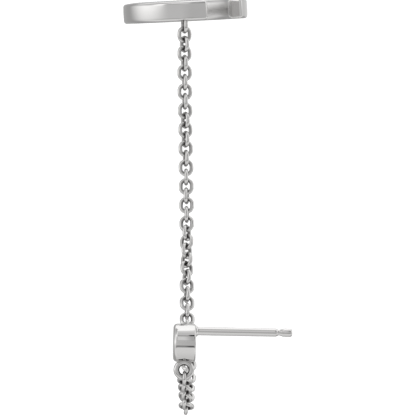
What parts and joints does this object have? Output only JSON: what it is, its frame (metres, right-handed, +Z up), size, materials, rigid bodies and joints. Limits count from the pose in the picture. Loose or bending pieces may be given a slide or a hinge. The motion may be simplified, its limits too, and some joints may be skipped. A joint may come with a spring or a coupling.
{
  "type": "chain ear cuff earring",
  "caption": "Open C-shaped ear cuff joined by a fine cable chain to a short round stud with a straight ear post.",
  "frame": {"origin": "middle of the round space inside the ear cuff, at half the band's height", "axes": "+Z up as worn, +X towards the wearer's head, the way the ear post points, -Y towards the viewer, from the cuff to the stud"},
  "size_m": [0.0175, 0.0405, 0.0422],
  "materials": {
    "polished_band": "mirror-polished white gold",
    "chain_wire": "drawn and tumbled white gold wire",
    "polished_stud": "mirror-polished white gold with faint lathe marks"
  },
  "bodies": {
    "root": {"ear_cuff": "polished_band", "cable_chain": "chain_wire", "post_stud": "polished_stud"}
  },
  "joints": []
}
